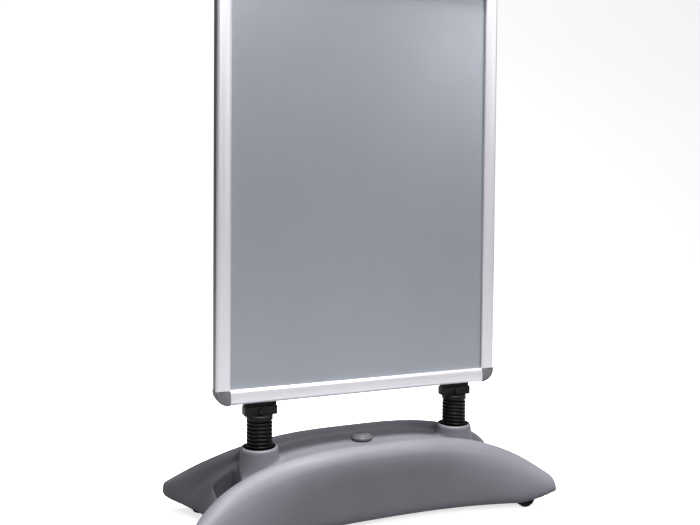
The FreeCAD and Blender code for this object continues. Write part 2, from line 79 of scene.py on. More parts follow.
def shadeSmooth(mesh, angle=35.0):
    mesh.polygons.foreach_set("use_smooth", [True] * len(mesh.polygons))
    mesh.set_sharp_from_angle(angle=math.radians(angle))
    return mesh


def toMesh(work, name, angle=35.0):
    bmesh.ops.remove_doubles(work, verts=work.verts, dist=1e-6)
    bmesh.ops.recalc_face_normals(work, faces=work.faces)
    mesh = bpy.data.meshes.new(name)
    work.to_mesh(mesh)
    work.free()
    return shadeSmooth(mesh, angle)


def modified(mesh, add, name):
    # runs modifiers on a mesh and gives back the plain result; add(object) puts them on
    holder = bpy.data.objects.new(name, mesh)
    bpy.context.scene.collection.objects.link(holder)
    helpers = add(holder) or []
    depsgraph = bpy.context.evaluated_depsgraph_get()
    result = bpy.data.meshes.new_from_object(holder.evaluated_get(depsgraph))
    for thing in [holder, *helpers]:
        bpy.data.objects.remove(thing)
    result.name = name
    return result


def lathe(outline, centre, axis="z", steps=96):
    # outline is (radius, height) points along the axis; an end at radius 0 closes on the axis
    work = bmesh.new()
    rings = []
    for radius, height in outline:
        ring = []
        for i in range(1 if radius < 1e-7 else steps):
            turn = 2.0 * math.pi * i / steps
            a, b = radius * math.cos(turn), radius * math.sin(turn)
            place = (a, b, height) if axis == "z" else (a, height, b)
            ring.append(work.verts.new(Vector(centre) + Vector(place)))
        rings.append(ring)
    pairs = list(zip(rings, rings[1:]))
    if len(rings[0]) > 1 and len(rings[-1]) > 1:
        pairs.append((rings[-1], rings[0]))
    for low, high in pairs:
        for i in range(steps):
            j = (i + 1) % steps
            corners = [low[i % len(low)], low[j % len(low)], high[j % len(high)], high[i % len(high)]]
            unique = list(dict.fromkeys(corners))
            if len(unique) > 2:
                work.faces.new(unique)
    return work


def boxMesh(low, high):
    work = bmesh.new()
    bmesh.ops.create_cube(work, size=1.0)
    for v in work.verts:
        v.co = Vector(l + (h - l) * (c + 0.5) for c, l, h in zip(v.co, low, high))
    return work


def joined(works, name):
    whole = bmesh.new()
    for work in works:
        part = bpy.data.meshes.new("part")
        work.to_mesh(part)
        work.free()
        whole.from_mesh(part)
        bpy.data.meshes.remove(part)
    mesh = bpy.data.meshes.new(name)
    whole.to_mesh(mesh)
    whole.free()
    return mesh


# ---- geometry node helpers ----
def nodeRecipe(name, inputs):
    # a tree with named inputs; inputs is {name: value}
    tree = bpy.data.node_groups.new(name, "GeometryNodeTree")
    tree.interface.new_socket("Geometry", in_out="OUTPUT", socket_type="NodeSocketGeometry")
    for key, value in inputs.items():
        kind = {int: "NodeSocketInt", float: "NodeSocketFloat"}.get(type(value), "NodeSocketMaterial")
        socket = tree.interface.new_socket(key, in_out="INPUT", socket_type=kind)
        if kind != "NodeSocketMaterial":
            socket.default_value = value
    given = tree.nodes.new("NodeGroupInput")
    return tree, given.outputs


def put(tree, kind, settings=None, **sockets):
    node = tree.nodes.new(kind)
    for key, value in (settings or {}).items():
        setattr(node, key, value)
    for key, value in sockets.items():
        socket = node.inputs[int(key[1:])] if key[0] == "_" else node.inputs[key.replace("_", " ")]
        if isinstance(value, bpy.types.NodeSocket):
            tree.links.new(value, socket)
        else:
            socket.default_value = value
    return node


def sums(tree):
    # short way to write formulas: f("MULTIPLY", a, b) gives a socket
    def formula(operation, *values):
        node = tree.nodes.new("ShaderNodeMath")
        node.operation = operation
        for i, value in enumerate(values):
            if isinstance(value, bpy.types.NodeSocket):
                tree.links.new(value, node.inputs[i])
            else:
                node.inputs[i].default_value = value
        return node.outputs[0]
    return formula


def finishRecipe(tree, geometry, material):
    real = put(tree, "GeometryNodeRealizeInstances", Geometry=geometry)
    painted = put(tree, "GeometryNodeSetMaterial", Geometry=real.outputs[0], Material=material)
    out = tree.nodes.new("NodeGroupOutput")
    tree.links.new(painted.outputs[0], out.inputs[0])


def growMesh(tree, values, name):
    # evaluates the tree once with these values and gives a plain mesh
    holder = bpy.data.objects.new(name, bpy.data.meshes.new(name))
    bpy.context.scene.collection.objects.link(holder)
    modifier = holder.modifiers.new("grow", "NODES")
    modifier.node_group = tree
    for item in tree.interface.items_tree:
        if item.in_out == "INPUT" and item.name in values:
            modifier[item.identifier] = values[item.name]
    depsgraph = bpy.context.evaluated_depsgraph_get()
    mesh = bpy.data.meshes.new_from_object(holder.evaluated_get(depsgraph))
    holder.modifiers.clear()
    bpy.data.objects.remove(holder)
    mesh.name = name
    return mesh


# ---- shader groups ----
def shaderGroup(name, inputs, outputs):
    tree = bpy.data.node_groups.new(name, "ShaderNodeTree")
    for key, value in inputs.items():
        kind = "NodeSocketVector" if isinstance(value, tuple) else "NodeSocketFloat"
        socket = tree.interface.new_socket(key, in_out="INPUT", socket_type=kind)
        socket.default_value = value
    for key in outputs:
        tree.interface.new_socket(key, in_out="OUTPUT", socket_type="NodeSocketFloat")
    given = tree.nodes.new("NodeGroupInput").outputs
    out = tree.nodes.new("NodeGroupOutput").inputs
    return tree, given, out


def makeGrain():
    # fine grain of a moulded or sprayed surface, with a slow patchiness
    tree, given, out = shaderGroup("surfaceGrain", {"Grain Scale": 900.0, "Patch Scale": 9.0},
                                   ["Grain", "Patches"])
    place = tree.nodes.new("ShaderNodeTexCoord").outputs["Object"]
    fine = put(tree, "ShaderNodeTexNoise", Vector=place, Scale=given["Grain Scale"], Detail=3.0,
               Roughness=0.6)
    broad = put(tree, "ShaderNodeTexNoise", Vector=place, Scale=given["Patch Scale"], Detail=4.0,
                Roughness=0.55)
    tree.links.new(fine.outputs[0], out["Grain"])
    tree.links.new(broad.outputs[0], out["Patches"])
    return tree


def makeBrush():
    # long fine lines, stretched along whichever axis has the small scale
    tree, given, out = shaderGroup("brushedLines", {"Line Scale": (900.0, 900.0, 6.0)}, ["Lines", "Bands"])
    place = tree.nodes.new("ShaderNodeTexCoord").outputs["Object"]
    stretched = put(tree, "ShaderNodeVectorMath", {"operation": "MULTIPLY"}, _0=place,
                    _1=given["Line Scale"])
    lines = put(tree, "ShaderNodeTexNoise", Vector=stretched.outputs[0], Scale=1.0, Detail=4.0,
                Roughness=0.65)
    wider = put(tree, "ShaderNodeVectorMath", {"operation": "SCALE"}, _0=stretched.outputs[0], Scale=0.22)
    bands = put(tree, "ShaderNodeTexNoise", Vector=wider.outputs[0], Scale=1.0, Detail=2.0)
    tree.links.new(lines.outputs[0], out["Lines"])
    tree.links.new(bands.outputs[0], out["Bands"])
    return tree


def makeDust():
    # settles on faces that look up, broken up by noise
    tree, given, out = shaderGroup("dustFilm", {"Amount": 0.3, "Spot Scale": 60.0}, ["Dust"])
    f = sums(tree)
    place = tree.nodes.new("ShaderNodeTexCoord").outputs["Object"]
    normal = tree.nodes.new("ShaderNodeNewGeometry").outputs["Normal"]
    up = put(tree, "ShaderNodeSeparateXYZ", Vector=normal).outputs["Z"]
    spots = put(tree, "ShaderNodeTexNoise", Vector=place, Scale=given["Spot Scale"], Detail=5.0,
                Roughness=0.7).outputs[0]
    facing = f("SMOOTH_MIN", f("MAXIMUM", up, 0.0), 1.0, 0.2)
    spread = f("MULTIPLY", f("MULTIPLY", facing, spots), given["Amount"])
    tree.links.new(spread, out["Dust"])
    return tree


grainGroup, brushGroup, dustGroup = makeGrain(), makeBrush(), makeDust()


class Finish:
    # one material with a Principled shader and short calls for its nodes
    def __init__(self, name, **plain):
        self.material = bpy.data.materials.new(name)
        self.material.use_nodes = True
        self.tree = self.material.node_tree
        self.shader = self.tree.nodes["Principled BSDF"]
        for key, value in plain.items():
            self.shader.inputs[key.replace("_", " ")].default_value = value

    def group(self, tree, **values):
        node = self.tree.nodes.new("ShaderNodeGroup")
        node.node_tree = tree
        for key, value in values.items():
            node.inputs[key.replace("_", " ")].default_value = value
        return node.outputs

    def spread(self, value, low, high):
        # a 0..1 value (noise, mostly 0.3..0.7) made into low..high
        node = put(self.tree, "ShaderNodeMapRange", Value=value, _1=0.3, _2=0.7, _3=low, _4=high)
        return node.outputs[0]

    def blend(self, mask, first, second):
        node = self.tree.nodes.new("ShaderNodeMix")
        node.data_type = "RGBA"
        self.feed(mask, node.inputs[0])
        self.feed(first, node.inputs[6])
        self.feed(second, node.inputs[7])
        return node.outputs[2]

    def feed(self, value, socket):
        if isinstance(value, bpy.types.NodeSocket):
            self.tree.links.new(value, socket)
        else:
            socket.default_value = value

    def drive(self, name, value):
        self.feed(value, self.shader.inputs[name])

    def bump(self, height, strength, distance):
        node = put(self.tree, "ShaderNodeBump", Height=height, Strength=strength, Distance=distance)
        self.tree.links.new(node.outputs[0], self.shader.inputs["Normal"])


def grey(value, blue=1.0, red=1.0):
    return (value * red, value, value * blue, 1.0)


def mouldedPlastic(name, tone, roughness, grain=700.0, depth=0.00012, dust=0.25, blue=1.04, shine=0.4):
    finish = Finish(name, Specular_IOR_Level=shine)
    surface = finish.group(grainGroup, Grain_Scale=grain, Patch_Scale=8.0)
    settled = finish.group(dustGroup, Amount=dust, Spot_Scale=45.0)
    base = finish.blend(finish.spread(surface["Patches"], 0.0, 1.0), grey(tone * 0.93, blue),
                        grey(tone * 1.06, blue))
    dusty = finish.blend(settled["Dust"], base, grey(min(0.5, tone * 1.5 + 0.05), 0.99))
    finish.drive("Base Color", dusty)
    finish.drive("Roughness", finish.spread(surface["Patches"], roughness - 0.04, roughness + 0.06))
    finish.bump(surface["Grain"], 0.5, depth)
    return finish.material


def paintedMetal(name, tone, roughness):
    finish = Finish(name, Specular_IOR_Level=0.22, Coat_Roughness=0.35)
    surface = finish.group(grainGroup, Grain_Scale=1600.0, Patch_Scale=26.0)
    settled = finish.group(dustGroup, Amount=0.012, Spot_Scale=120.0)
    finish.drive("Base Color", finish.blend(settled["Dust"], grey(tone), grey(0.16, 0.96)))
    finish.drive("Roughness", finish.spread(surface["Patches"], roughness - 0.05, roughness + 0.08))
    finish.drive("Coat Weight", finish.spread(surface["Patches"], 0.0, 0.04))
    finish.bump(surface["Grain"], 0.35, 0.00008)
    return finish.material


def brushedMetal(name, tone, roughness, lines, depth=0.00004, blue=1.05, red=1.02):
    finish = Finish(name, Metallic=1.0, Anisotropic=0.3)
    brushed = finish.group(brushGroup, Line_Scale=lines)
    surface = finish.group(grainGroup, Grain_Scale=2200.0, Patch_Scale=5.0)
    mixed = finish.blend(finish.spread(brushed["Bands"], 0.0, 1.0), grey(tone * 0.96, blue, red),
                         grey(tone, blue, red))
    finish.drive("Base Color", finish.blend(finish.spread(surface["Patches"], 0.0, 0.25), mixed,
                                            grey(tone * 0.9, blue * 1.01, red)))
    finish.drive("Roughness", finish.spread(brushed["Lines"], roughness - 0.05, roughness + 0.07))
    finish.bump(brushed["Lines"], 0.3, depth)
    return finish.material


def galvanisedSheet():
    finish = Finish("galvanisedSheet", Metallic=0.85, Specular_IOR_Level=0.4)
    place = finish.tree.nodes.new("ShaderNodeTexCoord").outputs["Object"]
    spangle = put(finish.tree, "ShaderNodeTexVoronoi", Vector=place, Scale=190.0, Randomness=1.0)
    surface = finish.group(grainGroup, Grain_Scale=420.0, Patch_Scale=3.2)
    crystals = put(finish.tree, "ShaderNodeSeparateColor", Color=spangle.outputs["Color"]).outputs[0]
    base = finish.blend(crystals, (0.490, 0.514, 0.572, 1.0), (0.506, 0.530, 0.590, 1.0))
    cloud = finish.blend(finish.spread(surface["Patches"], 0.0, 1.0), base, (0.478, 0.501, 0.558, 1.0))
    finish.drive("Base Color", cloud)
    finish.drive("Roughness", finish.spread(surface["Grain"], 0.33, 0.38))
    finish.bump(surface["Grain"], 0.08, 0.00003)
    return finish.material


def clearSheet():
    finish = Finish("clearSheet", Roughness=0.28, IOR=1.45, Base_Color=(0.36, 0.38, 0.41, 1.0),
                    Specular_IOR_Level=0.45)
    surface = finish.group(grainGroup, Grain_Scale=1300.0, Patch_Scale=2.4)
    finish.drive("Alpha", finish.spread(surface["Patches"], 0.14, 0.20))
    finish.drive("Roughness", finish.spread(surface["Patches"], 0.26, 0.34))
    finish.bump(surface["Grain"], 0.06, 0.00002)
    return finish.material


def softRubber(name, tone):
    finish = Finish(name, Specular_IOR_Level=0.3)
    surface = finish.group(grainGroup, Grain_Scale=500.0, Patch_Scale=30.0)
    settled = finish.group(dustGroup, Amount=0.3, Spot_Scale=90.0)
    finish.drive("Base Color", finish.blend(settled["Dust"], grey(tone), grey(0.2, 0.95)))
    finish.drive("Roughness", finish.spread(surface["Patches"], 0.7, 0.85))
    finish.bump(surface["Grain"], 0.5, 0.00015)
    return finish.material


tankPlastic = mouldedPlastic("tankPlastic", 0.138, 0.52, grain=520.0, depth=0.00012, dust=0.06, blue=1.15)
capPlastic = mouldedPlastic("capPlastic", 0.098, 0.42, grain=900.0, depth=0.0001, dust=0.08, blue=1.10)
cornerPlastic = mouldedPlastic("cornerPlastic", 0.160, 0.42, grain=1100.0, depth=0.00008, dust=0.05,
                               blue=1.08)
blackNylon = mouldedPlastic("blackNylon", 0.004, 0.42, grain=1200.0, depth=0.00008, dust=0.01, blue=1.0,
                            shine=0.2)
wheelNylon = mouldedPlastic("wheelNylon", 0.006, 0.5, grain=900.0, depth=0.0001, dust=0.03, blue=1.0,
                            shine=0.25)
springPaint = paintedMetal("springPaint", 0.003, 0.36)
bracketPaint = paintedMetal("bracketPaint", 0.004, 0.42)
sealRubber = softRubber("sealRubber", 0.02)
footRubber = softRubber("footRubber", 0.022)
lidUpright = brushedMetal("anodisedUpright", 0.84, 0.46, (1100.0, 1100.0, 5.0))
lidLevel = brushedMetal("anodisedLevel", 0.84, 0.46, (5.0, 1100.0, 1100.0))
# the rails' dark grey tone is painted shade: it stands in for the dark line along the frame's edges, where
# the rail side between the two lids lies in shade
shadeDarkRailUpright = brushedMetal("shadeDarkRailUpright", 0.30, 0.42, (900.0, 900.0, 5.0))
shadeDarkRailLevel = brushedMetal("shadeDarkRailLevel", 0.30, 0.42, (5.0, 900.0, 900.0))
pinSteel = brushedMetal("pinSteel", 0.58, 0.3, (900.0, 8.0, 900.0))
zincSteel = brushedMetal("zincSteel", 0.55, 0.38, (300.0, 300.0, 300.0))
backingMetal = galvanisedSheet()
coverPlastic = clearSheet()
print("finishes ready")


# ---- the hollow base: two arched lobes with a valley between them ----
tankShape = {
    "halfLength": 0.390, "crest": 0.160, "noseTop": 0.067, "crestPower": 3.0,
    "floor": 0.013, "noseFloor": 0.033, "noseRise": 0.085, "risePower": 1.3,
    "waist": 0.100, "noseOuter": 0.168, "outerPower": 2.45,
    "valleyHalf": 0.055, "noseInner": 0.114, "innerPower": 5.0,
    "noseRound": 0.085, "noseTaper": 0.5, "ridgeFrom": 0.22, "ridgeTo": 0.80,
    "valleyDrop": 0.013, "endDrop": 0.040, "noseReach": 0.072, "shoulder": 0.034, "webPower": 2.2,
    "taperPower": 2.8, "topShrink": 0.25, "footShrink": 0.15,   # how the nose tips draw in
    "endGap": 0.012, "edgePower": 2.6, "edgeLeast": 0.12,       # end walls of the valley
    "lobeSteps": 170, "roundSteps": 84, "lobeCrowding": 1.3,    # more mesh rows near the noses
    "valleyColumns": 150, "valleyRows": 60, "valleyCrowding": 1.35,
    "grain": 0.0026,            # size of the mesh that the rounding works on
    "softening": 9,             # rounds of smoothing, for the soft edges of a rotomoulding
}


def lobeRecipe():
    s = tankShape
    tree, given = nodeRecipe("lobe", {
        "Half Length": s["halfLength"], "Crest": s["crest"], "Nose Top": s["noseTop"],
        "Floor": s["floor"], "Nose Floor": s["noseFloor"], "Waist": s["waist"],
        "Nose Outer": s["noseOuter"], "Valley Half": s["valleyHalf"], "Nose Inner": s["noseInner"],
        "Side": 1.0, "Material": None})
    f = sums(tree)
    grid = put(tree, "GeometryNodeMeshGrid", Size_X=2.0, Size_Y=1.0, Vertices_X=s["lobeSteps"],
               Vertices_Y=s["roundSteps"])
    place = put(tree, "ShaderNodeSeparateXYZ", Vector=tree.nodes.new("GeometryNodeInputPosition").outputs[0])
    along = place.outputs["X"]
    around = f("ADD", place.outputs["Y"], 0.5)
    left = f("SUBTRACT", 1.0, f("MINIMUM", f("ABSOLUTE", along), 1.0))
    evened = f("SUBTRACT", 1.0, f("POWER", left, s["lobeCrowding"]))
    reach = f("MULTIPLY", evened, given["Half Length"])
    x = f("MULTIPLY", reach, f("SIGN", along))

    def between(first, last, power):
        step = f("MULTIPLY", f("SUBTRACT", last, first), f("POWER", evened, power))
        return f("ADD", first, step)

    crest = between(given["Crest"], given["Nose Top"], s["crestPower"])
    outer = between(given["Waist"], given["Nose Outer"], s["outerPower"])
    inner = between(given["Valley Half"], given["Nose Inner"], s["innerPower"])
    def nearEnd(length):
        past = f("ADD", f("SUBTRACT", reach, given["Half Length"]), length)
        return f("DIVIDE", f("MAXIMUM", past, 0.0), length)

    rise = nearEnd(s["noseRise"])
    low = f("ADD", given["Floor"], f("MULTIPLY", f("SUBTRACT", given["Nose Floor"], given["Floor"]),
                                     f("POWER", rise, s["risePower"])))
    shrink = f("MULTIPLY", f("POWER", nearEnd(s["noseRound"]), s["taperPower"]), s["noseTaper"])
    middle = f("MULTIPLY", f("ADD", inner, outer), 0.5)
    half = f("MULTIPLY", f("MULTIPLY", f("SUBTRACT", outer, inner), 0.5), f("SUBTRACT", 1.0, shrink))
    tall = f("SUBTRACT", crest, low)
    top = f("SUBTRACT", crest, f("MULTIPLY", f("MULTIPLY", tall, shrink), s["topShrink"]))
    foot = f("ADD", low, f("MULTIPLY", f("MULTIPLY", tall, shrink), s["footShrink"]))
    # two sections, each from the outer foot over the crest and back along the floor: a steep wall
    # under a ridge in the middle, a plain dome at the noses
    wallSection = [(0.0, 0.90, 0.0), (0.035, 0.98, 0.04), (0.075, 1.0, 0.15), (0.17, 1.0, 0.45),
                   (0.26, 0.995, 0.68), (0.31, 0.955, 0.80), (0.37, 0.80, 0.905), (0.45, 0.55, 0.97),
                   (0.52, 0.32, 1.0), (0.58, 0.14, 0.965), (0.63, 0.03, 0.88), (0.69, 0.0, 0.72),
                   (0.82, 0.0, 0.12), (0.86, 0.0, 0.0), (1.0, 0.90, 0.0)]
    noseSection = [(0.0, 0.90, 0.0), (0.035, 0.975, 0.03), (0.075, 0.998, 0.11), (0.17, 0.965, 0.33),
                   (0.26, 0.87, 0.56), (0.31, 0.77, 0.71), (0.37, 0.62, 0.85), (0.45, 0.43, 0.955),
                   (0.52, 0.26, 1.0), (0.58, 0.12, 0.97), (0.63, 0.03, 0.88), (0.69, 0.0, 0.72),
                   (0.82, 0.0, 0.12), (0.86, 0.0, 0.0), (1.0, 0.90, 0.0)]
    ramp = put(tree, "ShaderNodeMapRange", {"interpolation_type": "SMOOTHSTEP"}, Value=evened,
               _1=s["ridgeFrom"], _2=s["ridgeTo"], _3=0.0, _4=1.0).outputs[0]

    def drawn(index):
        curves = []
        for section in (wallSection, noseSection):
            node = put(tree, "ShaderNodeFloatCurve", Value=around)
            points = node.mapping.curves[0].points
            for row in section[1:-1]:
                points.new(row[0], row[index])
            points[0].location = (section[0][0], section[0][index])
            points[-1].location = (section[-1][0], section[-1][index])
            for point in list(points)[-4:]:
                point.handle_type = "VECTOR"
            node.mapping.update()
            curves.append(node.outputs[0])
        return f("ADD", curves[0], f("MULTIPLY", ramp, f("SUBTRACT", curves[1], curves[0])))

    across, up = drawn(1), drawn(2)
    y = f("ADD", f("SUBTRACT", middle, half), f("MULTIPLY", f("MULTIPLY", half, 2.0), across))
    z = f("ADD", foot, f("MULTIPLY", f("SUBTRACT", top, foot), up))
    spot = put(tree, "ShaderNodeCombineXYZ", X=x, Y=f("MULTIPLY", y, given["Side"]), Z=z)
    shaped = put(tree, "GeometryNodeSetPosition", Geometry=grid.outputs["Mesh"], Position=spot.outputs[0])
    finishRecipe(tree, shaped.outputs[0], given["Material"])
    return tree


def crestAt(x):
    s = tankShape
    return s["crest"] - (s["crest"] - s["noseTop"]) * (abs(x) / s["halfLength"]) ** s["crestPower"]


def valleyAt(x):
    s = tankShape
    return crestAt(x) - s["valleyDrop"] - s["endDrop"] * (abs(x) / s["halfLength"]) ** s["crestPower"]


def valleyBlock():
    # a subdivided block bent to the valley: its ends curve from nose to nose and round down
    s = tankShape
    work = bmesh.new()
    columns, across = s["valleyColumns"], s["valleyRows"]
    noseMiddle = (s["noseInner"] + s["noseOuter"]) / 2.0
    levels = {}
    for i in range(columns + 1):
        t = -1.0 + 2.0 * i / columns
        t = math.copysign(1.0 - (1.0 - abs(t)) ** s["valleyCrowding"], t)
        for j in range(across + 1):
            v = -1.0 + 2.0 * j / across
            limit = s["halfLength"] - s["noseReach"]
            y = v * noseMiddle
            end = limit + s["noseReach"] * (abs(y) / noseMiddle) ** s["webPower"]
            x = t * min(end, s["halfLength"] - s["endGap"])
            width = abs(x) / s["halfLength"]
            inner = s["valleyHalf"] + (s["noseInner"] - s["valleyHalf"]) * width ** s["innerPower"]
            outer = s["waist"] + (s["noseOuter"] - s["waist"]) * width ** s["outerPower"]
            y = v * (inner + outer) / 2.0
            rise = max(0.0, abs(x) - s["halfLength"] + s["noseRise"]) / s["noseRise"]
            low = s["floor"] + (s["noseFloor"] - s["floor"]) * rise ** s["risePower"]
            left = max(0.0, end - abs(x))
            part = min(1.0, left / s["shoulder"])
            bulge = max(0.0, 1.0 - (1.0 - part) ** s["edgePower"]) ** (1.0 / s["edgePower"])
            high = low + (valleyAt(x) - low) * max(bulge, s["edgeLeast"])
            levels[i, j] = (work.verts.new((x, y, low)), work.verts.new((x, y, high)))
    for i in range(columns):
        for j in range(across):
            a, b, c, d = levels[i, j], levels[i + 1, j], levels[i + 1, j + 1], levels[i, j + 1]
            work.faces.new((a[1], b[1], c[1], d[1]))
            work.faces.new((d[0], c[0], b[0], a[0]))
    edge = [(i, 0) for i in range(columns)] + [(columns, j) for j in range(across)]
    edge += [(i, across) for i in range(columns, 0, -1)] + [(0, j) for j in range(across, 0, -1)]
    for first, second in zip(edge, edge[1:] + edge[:1]):
        work.faces.new((levels[first][0], levels[second][0], levels[second][1], levels[first][1]))
    return work


bossShape = {
    "hole": 0.033, "rim": 0.0375, "foot": 0.052, "height": 0.066, "top": 0.160, "socketFloor": 0.104,
    "rimEdge": 0.0012, "sunk": 0.006,   # how far its foot reaches down into the valley
}

# rooms cut into the base: sizes of the hand-hold, the wheel wells and the round holes
cutShape = {
    "gripFrom": -0.309, "gripTo": -0.267, "gripHalf": 0.046, "gripFloor": 0.041, "gripRound": 0.007,
    "wellHalfLength": 0.027, "wellHalfWidth": 0.0125, "wellTop": 0.050, "wellRound": 0.004,
    "neckRadius": 0.01555, "neckDepth": 0.030, "pegRadius": 0.00625, "pegTop": 0.02925,
    "axleRadius": 0.00425, "axleHalf": 0.01925, "over": 0.01,
}


def bossSolid(x):
    b = bossShape
    spread = b["foot"] - b["rim"]
    bottom = b["top"] - b["height"] - b["sunk"]
    lip = b["top"] + b["rimEdge"] / 3.0
    outline = [(0.0, bottom), (b["foot"], bottom)]
    for share, up in ((1.0, 0.0), (0.62, 0.18), (0.32, 0.46), (0.12, 0.74), (0.03, 0.92)):
        outline.append((b["rim"] + spread * share, b["top"] - b["height"] * (1.0 - up)))
    outline += [(b["rim"], b["top"] - b["rimEdge"]), (b["rim"] - 0.001, lip), (0.0, lip)]
    return lathe(outline, (x, 0.0, 0.0), steps=72)


def cutWith(mesh, cutters, name):
    def add(holder):
        helpers = []
        for work in cutters:
            cutter = bpy.data.meshes.new("cutter")
            bmesh.ops.recalc_face_normals(work, faces=work.faces)
            work.to_mesh(cutter)
            work.free()
            helper = bpy.data.objects.new("cutter", cutter)
            bpy.context.scene.collection.objects.link(helper)
            helpers.append(helper)
            modifier = holder.modifiers.new("cut", "BOOLEAN")
            modifier.operation = "DIFFERENCE"
            modifier.solver = "EXACT"
            modifier.object = helper
        return helpers
    return modified(mesh, add, name)


def roundedCutter(low, high, radius):
    work = boxMesh(low, high)
    bmesh.ops.bevel(work, geom=work.edges[:], offset=radius, segments=4, profile=0.5, affect="EDGES")
    return work


def buildTank():
    s, b = tankShape, bossShape
    recipe = lobeRecipe()
    works = []
    for side in rows.values():
        lobe = growMesh(recipe, {"Side": side, "Material": tankPlastic}, "lobe")
        work = bmesh.new()
        work.from_mesh(lobe)
        bmesh.ops.remove_doubles(work, verts=work.verts, dist=2e-5)
        bmesh.ops.holes_fill(work, edges=work.edges[:], sides=0)
        bmesh.ops.recalc_face_normals(work, faces=work.faces)
        works.append(work)
    valley = valleyBlock()
    bmesh.ops.recalc_face_normals(valley, faces=valley.faces)
    works.append(valley)
    for name in ("left", "right"):
        work = bossSolid(middleOf("coil_spring_" + name).x)
        bmesh.ops.recalc_face_normals(work, faces=work.faces)
        works.append(work)
    raw = joined(works, "tankRaw")

    def fuse(holder):
        remesh = holder.modifiers.new("fuse", "REMESH")
        remesh.mode = "VOXEL"
        remesh.voxel_size = s["grain"]
        relax = holder.modifiers.new("relax", "SMOOTH")
        relax.factor, relax.iterations = 0.5, 4

    fused = modified(raw, fuse, "tankFused")
    c = cutShape
    pockets = [roundedCutter((c["gripFrom"], -c["gripHalf"], c["gripFloor"]),
                             (c["gripTo"], c["gripHalf"], b["top"] + 0.03), c["gripRound"])]
    wheel = middleOf("wheel_front")
    for side in rows.values():
        y = side * abs(wheel.y)
        pockets.append(roundedCutter(
            (wheel.x - c["wellHalfLength"], y - c["wellHalfWidth"], -c["wellTop"]),
            (wheel.x + c["wellHalfLength"], y + c["wellHalfWidth"], c["wellTop"]), c["wellRound"]))
    cut = cutWith(fused, pockets, "tankCut")

    def soften(holder):
        remesh = holder.modifiers.new("even", "REMESH")
        remesh.mode = "VOXEL"
        remesh.voxel_size = s["grain"]
        relax = holder.modifiers.new("relax", "SMOOTH")
        relax.factor, relax.iterations = 0.5, s["softening"]

    soft = modified(cut, soften, "tankSoft")

    def hole(centre, radius, low, high, steps, axis="z"):
        outline = [(0.0, low), (radius, low), (radius, high), (0.0, high)]
        return lathe(outline, centre, axis, steps)

    sockets = []
    for name in ("left", "right"):
        x = middleOf("coil_spring_" + name).x
        sockets.append(hole((x, 0.0, 0.0), b["hole"], b["socketFloor"], b["top"] + c["over"], 96))
    neckTop = valleyAt(0.0)
    sockets.append(hole((0.0, 0.0, 0.0), c["neckRadius"], neckTop - c["neckDepth"], neckTop + c["over"], 72))
    foot = middleOf("rubber_feet").x
    sideways = [side * abs(wheel.y) for side in rows.values()]
    for y in sideways:
        sockets.append(hole((foot, y, 0.0), c["pegRadius"], -c["over"], c["pegTop"], 48))
    for y in sideways:
        ends = (y - c["axleHalf"], y + c["axleHalf"])
        sockets.append(hole((wheel.x, 0.0, wheel.z), c["axleRadius"], *ends, 48, "y"))
    finished = cutWith(soft, sockets, "tankShell")
    triangles = sum(len(p.vertices) - 2 for p in finished.polygons)
    print("tank triangles", triangles)
    if triangles > 190000:
        def thin(holder):
            decimate = holder.modifiers.new("thin", "DECIMATE")
            decimate.ratio = 185000.0 / triangles
        finished = modified(finished, thin, "tankShell")
    shadeSmooth(finished, 40.0)
    return newPiece("tankShell", finished, tankPlastic, "base", ["base_tank"])


buildTank()
print("tank built")


# ---- springs ----
springShape = {
    "wire": 0.0074, "pitch": 0.0077, "outer": 0.0262, "foot": 0.110, "head": 0.214,
    "turnSteps": 44, "wireSteps": 14, "bendFrom": 0.152, "bendTo": 0.212,
}


def coilRecipe():
    s = springShape
    height = s["head"] - s["foot"] - s["wire"]
    tree, given = nodeRecipe("coil", {
        "Mean Radius": s["outer"] - s["wire"] / 2.0, "Wire Radius": s["wire"] / 2.0,
        "Turns": height / s["pitch"], "Height": height, "Foot": s["foot"] + s["wire"] / 2.0,
        "Across": 0.0, "Material": None})
    spiral = put(tree, "GeometryNodeCurveSpiral", Resolution=s["turnSteps"], Rotations=given["Turns"],
                 Start_Radius=given["Mean Radius"], End_Radius=given["Mean Radius"], Height=given["Height"])
    wire = put(tree, "GeometryNodeCurvePrimitiveCircle", {"mode": "RADIUS"}, Resolution=s["wireSteps"])
    tree.links.new(given["Wire Radius"], wire.inputs["Radius"])
    tube = put(tree, "GeometryNodeCurveToMesh", Curve=spiral.outputs[0], Profile_Curve=wire.outputs[0],
               Fill_Caps=True)
    shift = put(tree, "ShaderNodeCombineXYZ", X=given["Across"], Z=given["Foot"])
    placed = put(tree, "GeometryNodeTransform", Geometry=tube.outputs[0], Translation=shift.outputs[0])
    finishRecipe(tree, placed.outputs[0], given["Material"])
    return tree


coil = coilRecipe()
for name in ("left", "right"):
    x = middleOf("coil_spring_" + name).x
    mesh = growMesh(coil, {"Across": x, "Material": springPaint}, "coil_" + name)
    work = bmesh.new()
    work.from_mesh(mesh)
    mesh = toMesh(work, "coil_" + name, 50.0)
    spring = newPiece("spring_" + name, mesh, springPaint, None, ["coil_spring_" + name])
    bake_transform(spring)
print("springs wound")


# ---- softened copies of moulded and pressed parts ----
def softCopy(node, name, body, material, width=0.0006, angle=28.0, segments=2):
    # the same part with its edges eased, so that they catch the light
    work = bmesh.new()
    work.from_mesh(nodes[node].data)
    bmesh.ops.remove_doubles(work, verts=work.verts, dist=1e-6)
    bmesh.ops.dissolve_limit(work, angle_limit=math.radians(0.6), verts=work.verts, edges=work.edges)
    mesh = bpy.data.meshes.new(name)
    work.to_mesh(mesh)
    work.free()

    def ease(holder):
        bevel = holder.modifiers.new("ease", "BEVEL")
        bevel.width, bevel.segments = width, segments
        bevel.limit_method, bevel.angle_limit = "ANGLE", math.radians(angle)
        bevel.use_clamp_overlap = True

    eased = shadeSmooth(modified(mesh, ease, name), 30.0)
    return newPiece(name, eased, material, body, [node])


